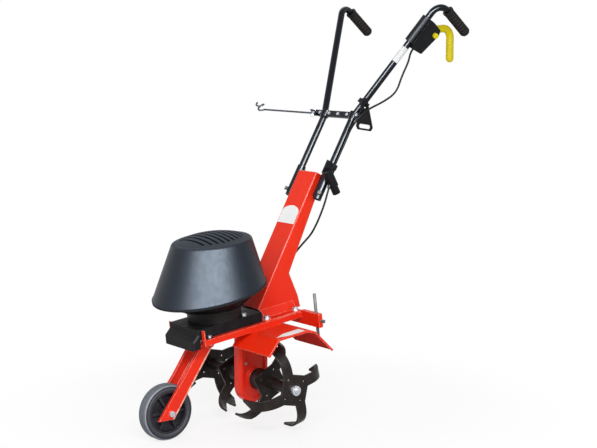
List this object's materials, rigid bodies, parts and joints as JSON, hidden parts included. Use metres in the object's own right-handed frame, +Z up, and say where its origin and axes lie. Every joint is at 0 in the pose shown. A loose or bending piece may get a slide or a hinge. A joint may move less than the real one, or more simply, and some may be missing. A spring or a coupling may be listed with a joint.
{
  "type": "electric tiller",
  "caption": "Walk-behind electric tiller: domed motor over a worm gear case with bladed rotors, folding front wheel, mudguards and forked tube handlebar with a dead-man lever.",
  "frame": {"origin": "bottom centre of the bounding box, on the ground", "axes": "+X to the machine's left, +Y to its rear (the handles), +Z up"},
  "size_m": [0.6166, 1.0214, 1.2166],
  "materials": {
    "red_paint": "gloss",
    "red_casting": "gloss",
    "black_paint": "gloss",
    "zinc_steel": "satin",
    "tine_steel": "satin",
    "hood_plastic": "satin",
    "black_plastic": "satin",
    "grip_rubber": "matte",
    "tyre_rubber": "matte",
    "yellow_plastic": "gloss",
    "lead_sheath": "satin",
    "belt_rubber": "matte",
    "lamination": "matte",
    "copper": "satin",
    "cast_aluminium": "satin",
    "black_casting": "satin",
    "bronze": "satin"
  },
  "bodies": {
    "chassis": {"cable_hook": "black_plastic", "case_bearings": "zinc_steel", "chassis_frame": "red_paint", "clamp_screws": "zinc_steel", "column": "red_paint", "connector_housing": "black_plastic", "crossbar_back": "black_paint", "crossbar_bolts": "zinc_steel", "crossbar_front": "black_paint", "drive_belt": "belt_rubber", "fork_pivot": "zinc_steel", "frame_bolts": "zinc_steel", "gear_case_bolts": "zinc_steel", "hood_pan": "black_plastic", "left_gear_case": "red_casting", "left_grip": "grip_rubber", "left_handle_tube": "black_paint", "left_mudguard": "red_paint", "left_sleeve": "black_paint", "lever_pin": "zinc_steel", "mains_inlet": "black_plastic", "motor_base": "black_casting", "motor_bearings": "zinc_steel", "motor_deck": "black_paint", "motor_hood": "hood_plastic", "motor_lead": "lead_sheath", "motor_stator": "lamination", "motor_top_shield": "cast_aluminium", "mudguard_stays": "zinc_steel", "right_gear_case": "red_casting", "right_grip": "grip_rubber", "right_handle_tube": "black_paint", "right_mudguard": "red_paint", "right_sleeve": "black_paint", "shaft_seals": "grip_rubber", "stator_winding": "copper", "switch_box": "black_plastic", "switch_clamp": "black_plastic", "switch_lead": "lead_sheath"},
    "tine_set": {"tine_shaft": "zinc_steel", "worm_wheel": "bronze", "left_inner_tines": "tine_steel", "right_inner_tines": "tine_steel", "left_outer_tines": "tine_steel", "right_outer_tines": "tine_steel", "tine_bolts": "zinc_steel"},
    "worm": {"worm_shaft": "zinc_steel", "worm_pulley": "black_plastic"},
    "rotor": {"motor_shaft": "zinc_steel", "motor_rotor": "lamination", "motor_fan": "black_plastic", "motor_pulley": "black_plastic"},
    "fork": {"left_fork_arm": "red_paint", "right_fork_arm": "red_paint", "wheel_axle": "zinc_steel"},
    "front_wheel": {"wheel_tyre": "tyre_rubber", "wheel_rim": "black_plastic"},
    "lever": {"switch_lever": "yellow_plastic"},
    "button": {"safety_button": "yellow_plastic"},
    "guide": {"cable_guide": "tine_steel"}
  },
  "joints": [
    {"name": "tine_spin", "type": "hinge", "parent": "chassis", "child": "tine_set", "pos_m": [0.0695, -0.13074, 0.135], "axis": [1, 0, 0], "continuous": true},
    {"name": "worm_spin", "type": "hinge", "parent": "chassis", "child": "worm", "pos_m": [0.0695, -0.10097, 0.13866], "axis": [0, -0.1219, 0.9925], "continuous": true},
    {"name": "rotor_spin", "type": "hinge", "parent": "chassis", "child": "rotor", "pos_m": [0.0695, -0.26132, 0.32819], "axis": [0, -0.1219, 0.9925], "continuous": true},
    {"name": "fork_fold", "type": "hinge", "parent": "chassis", "child": "fork", "pos_m": [0.0695, -0.30274, 0.267], "axis": [-1, 0, 0], "range_deg": [0, 28]},
    {"name": "wheel_spin", "type": "hinge", "parent": "fork", "child": "front_wheel", "pos_m": [0.0695, -0.43074, 0.08], "axis": [1, 0, 0], "continuous": true},
    {"name": "lever_squeeze", "type": "hinge", "parent": "chassis", "child": "lever", "pos_m": [0.2635, 0.39726, 1.143], "axis": [1, 0, 0], "range_deg": [0, 14], "stiffness_Nm_per_rad": 2, "springref_deg": -20.05},
    {"name": "button_press", "type": "slide", "parent": "chassis", "child": "button", "axis": [-0.9269, 0.2597, 0.271], "range_m": [0, 0.004], "stiffness_N_per_m": 600, "springref_m": -0.003},
    {"name": "guide_swing", "type": "hinge", "parent": "chassis", "child": "guide", "pos_m": [-0.0335, 0.17645, 0.88689], "axis": [0, 0.5, 0.866], "range_deg": [-25, 70]}
  ],
  "couplings": [
    {"joint": "worm_spin", "follows": "tine_spin", "ratio": -12},
    {"joint": "rotor_spin", "follows": "tine_spin", "ratio": -25.119}
  ]
}
